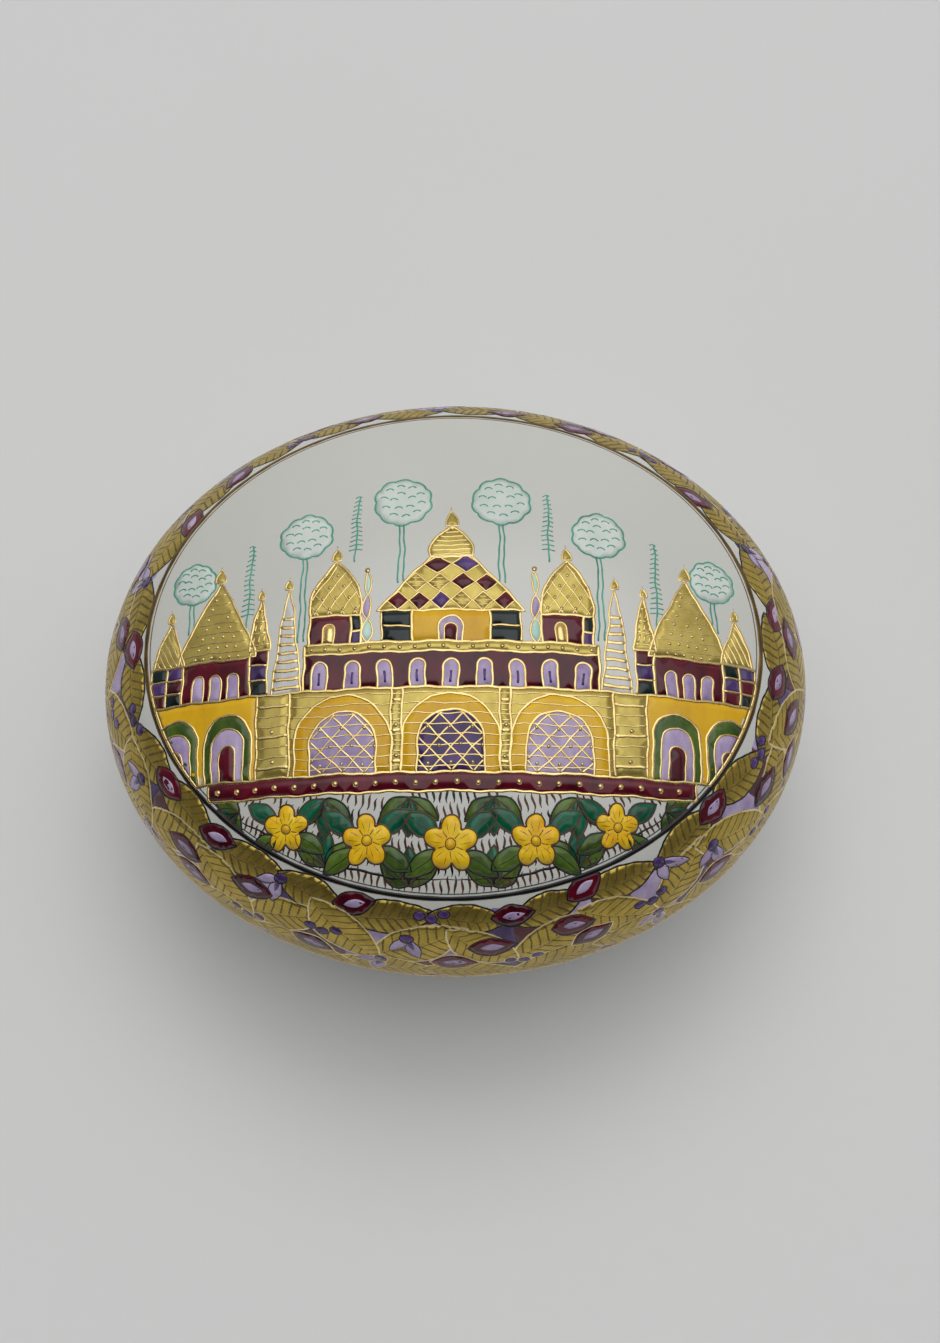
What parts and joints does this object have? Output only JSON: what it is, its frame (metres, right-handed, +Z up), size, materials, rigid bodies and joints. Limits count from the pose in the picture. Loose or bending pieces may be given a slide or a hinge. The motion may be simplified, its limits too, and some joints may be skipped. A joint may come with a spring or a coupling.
{
  "type": "trinket box",
  "caption": "Oval footed porcelain box with a domed lift-off lid, painted with buildings and a garden inside a leaf border and gilded at its rims.",
  "frame": {"origin": "middle of the foot ring's underside, on the surface that the box stands on", "axes": "+X along the box's length, +Y across its width towards the back of the picture, +Z up through the crown of the lid"},
  "size_m": [0.115, 0.097, 0.06],
  "materials": {
    "porcelain": "clear glossy glaze on white porcelain",
    "gilding": "burnished fired gold",
    "picture_enamel": "glossy overglaze enamel in many colours",
    "line_enamel": "thin dark overglaze line",
    "border_enamel": "satin olive-gold leaves with burgundy and lilac petals"
  },
  "bodies": {
    "base": {"base": "porcelain", "base_border_enamel": "border_enamel", "base_gilt_band": "gilding", "foot_gilt_line": "gilding"},
    "lid": {"lid": "porcelain", "lid_picture_enamel": "picture_enamel", "lid_frame_line": "line_enamel", "lid_border_enamel": "border_enamel", "lid_gilt_band": "gilding"}
  },
  "joints": [
    {"name": "lid_lift", "type": "slide", "parent": "base", "child": "lid", "axis": [0, 0, 1], "range_m": [0, 0.07]}
  ]
}
